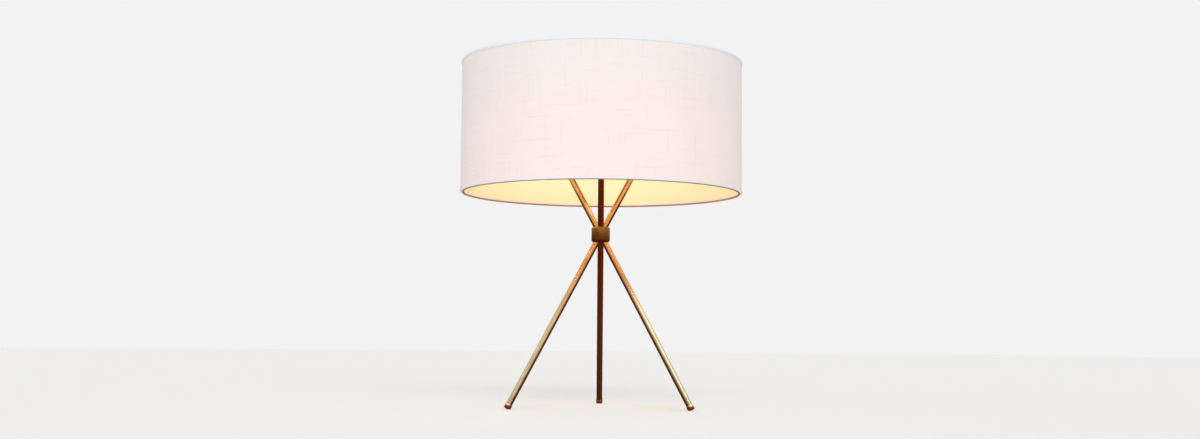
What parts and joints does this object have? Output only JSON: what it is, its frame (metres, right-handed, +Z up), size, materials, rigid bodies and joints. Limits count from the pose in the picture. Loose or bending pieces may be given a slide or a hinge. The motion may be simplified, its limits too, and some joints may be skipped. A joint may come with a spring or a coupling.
{
  "type": "tripod table lamp",
  "caption": "Table lamp on a tripod of crossed brass tubes held by a small hub, with a wide round drum shade of linen carried by a harp and spider over a bulb socket.",
  "frame": {"origin": "on the floor, under the hub's and the shade's common axis", "axes": "+Z up, -Y the front as pictured, +X to the viewer's right"},
  "size_m": [0.4381, 0.4382, 0.5334],
  "materials": {
    "tube_brass": "satin antique brass tube, brushed along its length",
    "hub_brass": "dark antique brass",
    "ferrule_copper": "satin copper-coloured brass",
    "pad_rubber": "dark red-brown rubber",
    "plug_brass": "plain machined brass",
    "bushing_plastic": "black moulded nylon",
    "lead_dark": "black wire insulation",
    "lead_light": "white wire insulation",
    "fitting_brass": "brass-plated steel fitting",
    "zinc_steel": "zinc-plated steel",
    "sleeve_card": "brown pressed card insulator",
    "switch_phenolic": "black moulded phenolic",
    "knob_plastic": "black moulded plastic",
    "bulb_frosted": "frosted white glass",
    "bulb_clear": "clear glass stem",
    "filament_metal": "tungsten wire",
    "base_metal": "nickel-plated screw base",
    "base_glass": "black vitrite insulator",
    "shade_linen": "off-white woven linen",
    "shade_styrene": "white styrene liner",
    "trim_linen": "white folded linen trim",
    "shade_wire": "white painted steel wire"
  },
  "bodies": {
    "stand": {"hub": "hub_brass", "leg_back": "tube_brass", "leg_left": "tube_brass", "leg_right": "tube_brass", "arm_front": "tube_brass", "arm_right": "tube_brass", "arm_left": "tube_brass", "foot_ferrule_back": "ferrule_copper", "foot_ferrule_left": "ferrule_copper", "foot_ferrule_right": "ferrule_copper", "foot_pad_back": "pad_rubber", "foot_pad_left": "pad_rubber", "foot_pad_right": "pad_rubber", "arm_plug_front": "plug_brass", "arm_plug_right": "plug_brass", "arm_plug_left": "plug_brass", "inlet_bushing": "bushing_plastic", "lead_live": "lead_dark", "lead_neutral": "lead_light", "socket_bracket": "fitting_brass", "bracket_screws": "plug_brass", "nipple": "zinc_steel", "lock_washer": "zinc_steel", "nipple_nut": "fitting_brass", "socket_cap": "fitting_brass", "socket_shell": "fitting_brass", "insulating_sleeve": "sleeve_card", "switch_body": "switch_phenolic", "terminal_screws": "zinc_steel", "screw_shell": "fitting_brass", "centre_contact": "fitting_brass", "harp_saddle": "fitting_brass", "harp": "fitting_brass"},
    "shade": {"shade_linen": "shade_linen", "shade_liner": "shade_styrene", "shade_spider": "shade_wire", "shade_bottom_ring": "shade_wire", "shade_trim_top": "trim_linen", "shade_trim_bottom": "trim_linen"},
    "finial": {"finial": "plug_brass"},
    "bulb": {"bulb_glass": "bulb_frosted", "bulb_stem": "bulb_clear", "bulb_filament": "filament_metal", "bulb_base": "base_metal", "bulb_insulator": "base_glass", "bulb_tip": "base_metal"},
    "knob": {"switch_knob": "knob_plastic"},
    "sleeve_left": {"harp_sleeve_left": "fitting_brass"},
    "sleeve_right": {"harp_sleeve_right": "fitting_brass"}
  },
  "joints": [
    {"name": "shade_swivel", "type": "hinge", "parent": "stand", "child": "shade", "pos_m": [0, 0, 0.506], "axis": [0, 0, 1], "continuous": true},
    {"name": "finial_turn", "type": "hinge", "parent": "stand", "child": "finial", "pos_m": [0, 0, 0.5098], "axis": [0, 0, 1], "continuous": true},
    {"name": "bulb_turn", "type": "hinge", "parent": "stand", "child": "bulb", "pos_m": [0, 0, 0.4084], "axis": [0, 0, 1], "continuous": true},
    {"name": "switch_knob_turn", "type": "hinge", "parent": "stand", "child": "knob", "pos_m": [0, 0, 0.39935], "axis": [0, -1, 0], "continuous": true},
    {"name": "harp_sleeve_left_lift", "type": "slide", "parent": "stand", "child": "sleeve_left", "axis": [0, 0, 1], "range_m": [0, 0.011]},
    {"name": "harp_sleeve_right_lift", "type": "slide", "parent": "stand", "child": "sleeve_right", "axis": [0, 0, 1], "range_m": [0, 0.011]}
  ]
}
